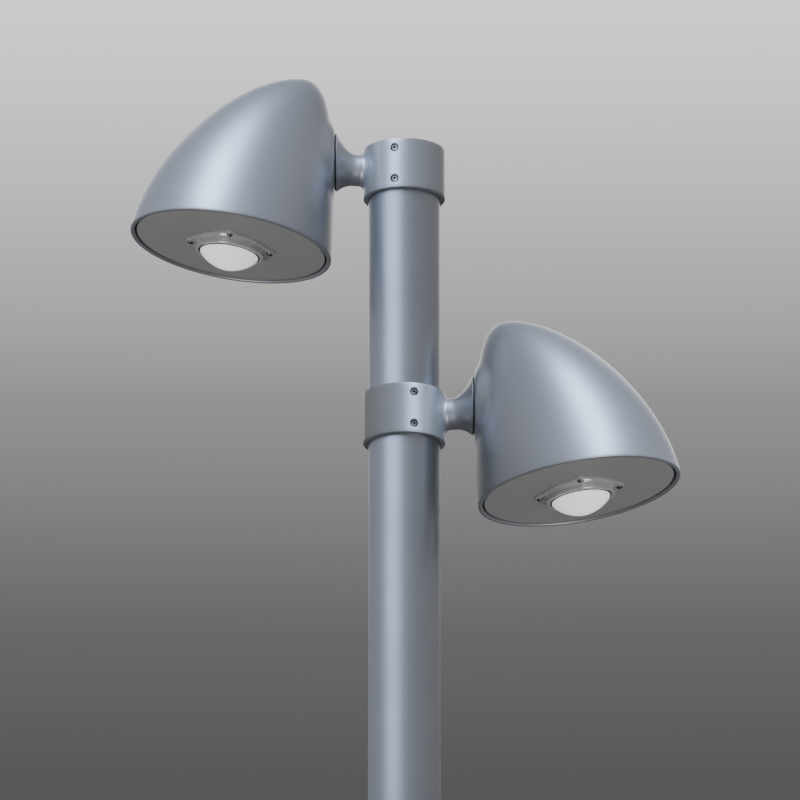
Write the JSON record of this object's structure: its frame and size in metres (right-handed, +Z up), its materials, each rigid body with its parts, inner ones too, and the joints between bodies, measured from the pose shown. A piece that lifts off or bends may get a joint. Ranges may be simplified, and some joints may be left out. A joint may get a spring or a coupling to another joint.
{
  "type": "twin-head mast luminaire",
  "caption": "Top section of a round mast with two aimable bell-shaped LED heads on collars, one above the other on opposite sides.",
  "frame": {"origin": "on the mast's axis, at the lower end of the mast tube, where the spigot leaves it", "axes": "+Z up along the mast, upper head towards -X, lower head towards +X"},
  "size_m": [0.5854, 0.2174, 1.0839],
  "materials": {
    "mast_coat": "fine metallic powder coat",
    "head_coat": "fine metallic powder coat",
    "plate_coat": "matt grey powder coat",
    "clear_ring": "clear moulded polycarbonate",
    "frosted_dome": "frosted diffuser",
    "rubber_seal": "matt",
    "stainless": "turned stainless steel",
    "mill_aluminium": "plain drawn or cast aluminium",
    "cap_plastic": "grained",
    "board_white": "solder mask",
    "led_yellow": "phosphor",
    "driver_white": "moulded",
    "lead_white": "sheath"
  },
  "bodies": {
    "mast": {"mast_tube": "mast_coat", "mast_cap": "cap_plastic", "mast_spigot": "mill_aluminium", "mast_screws": "stainless"},
    "upper_arm": {"upper_bracket": "head_coat", "upper_set_screws": "stainless", "upper_swivel_stud": "stainless", "upper_swivel_gasket": "rubber_seal", "upper_swivel_washer": "stainless", "upper_swivel_nut": "stainless", "upper_cable_bush": "rubber_seal"},
    "upper_head": {"upper_head_shell": "head_coat", "upper_cover_plate": "plate_coat", "upper_plate_seal": "rubber_seal", "upper_lens_ring": "clear_ring", "upper_lens_dome": "frosted_dome", "upper_dome_seal": "rubber_seal", "upper_lens_screws": "stainless", "upper_lens_spacers": "mill_aluminium", "upper_led_board": "board_white", "upper_led_chip": "led_yellow", "upper_heat_sink": "mill_aluminium", "upper_sink_screws": "stainless", "upper_driver_bracket": "stainless", "upper_bracket_screws": "stainless", "upper_driver": "driver_white", "upper_driver_screws": "stainless", "upper_terminal_block": "driver_white", "upper_led_lead": "lead_white"},
    "lower_arm": {"lower_bracket": "head_coat", "lower_set_screws": "stainless", "lower_swivel_stud": "stainless", "lower_swivel_gasket": "rubber_seal", "lower_swivel_washer": "stainless", "lower_swivel_nut": "stainless", "lower_cable_bush": "rubber_seal"},
    "lower_head": {"lower_head_shell": "head_coat", "lower_cover_plate": "plate_coat", "lower_plate_seal": "rubber_seal", "lower_lens_ring": "clear_ring", "lower_lens_dome": "frosted_dome", "lower_dome_seal": "rubber_seal", "lower_lens_screws": "stainless", "lower_lens_spacers": "mill_aluminium", "lower_led_board": "board_white", "lower_led_chip": "led_yellow", "lower_heat_sink": "mill_aluminium", "lower_sink_screws": "stainless", "lower_driver_bracket": "stainless", "lower_bracket_screws": "stainless", "lower_driver": "driver_white", "lower_driver_screws": "stainless", "lower_terminal_block": "driver_white", "lower_led_lead": "lead_white"}
  },
  "joints": [
    {"name": "upper_turn", "type": "hinge", "parent": "mast", "child": "upper_arm", "pos_m": [0, 0, 0.8755], "axis": [0, 0, 1], "range_deg": [-30, 30]},
    {"name": "upper_tilt", "type": "hinge", "parent": "upper_arm", "child": "upper_head", "pos_m": [-0.0744, 0, 0.8909], "axis": [-1, 0, 0], "range_deg": [-30, 30]},
    {"name": "lower_turn", "type": "hinge", "parent": "mast", "child": "lower_arm", "pos_m": [0, 0, 0.6005], "axis": [0, 0, 1], "range_deg": [-30, 30]},
    {"name": "lower_tilt", "type": "hinge", "parent": "lower_arm", "child": "lower_head", "pos_m": [0.0744, 0, 0.6159], "axis": [1, 0, 0], "range_deg": [-30, 30]}
  ]
}
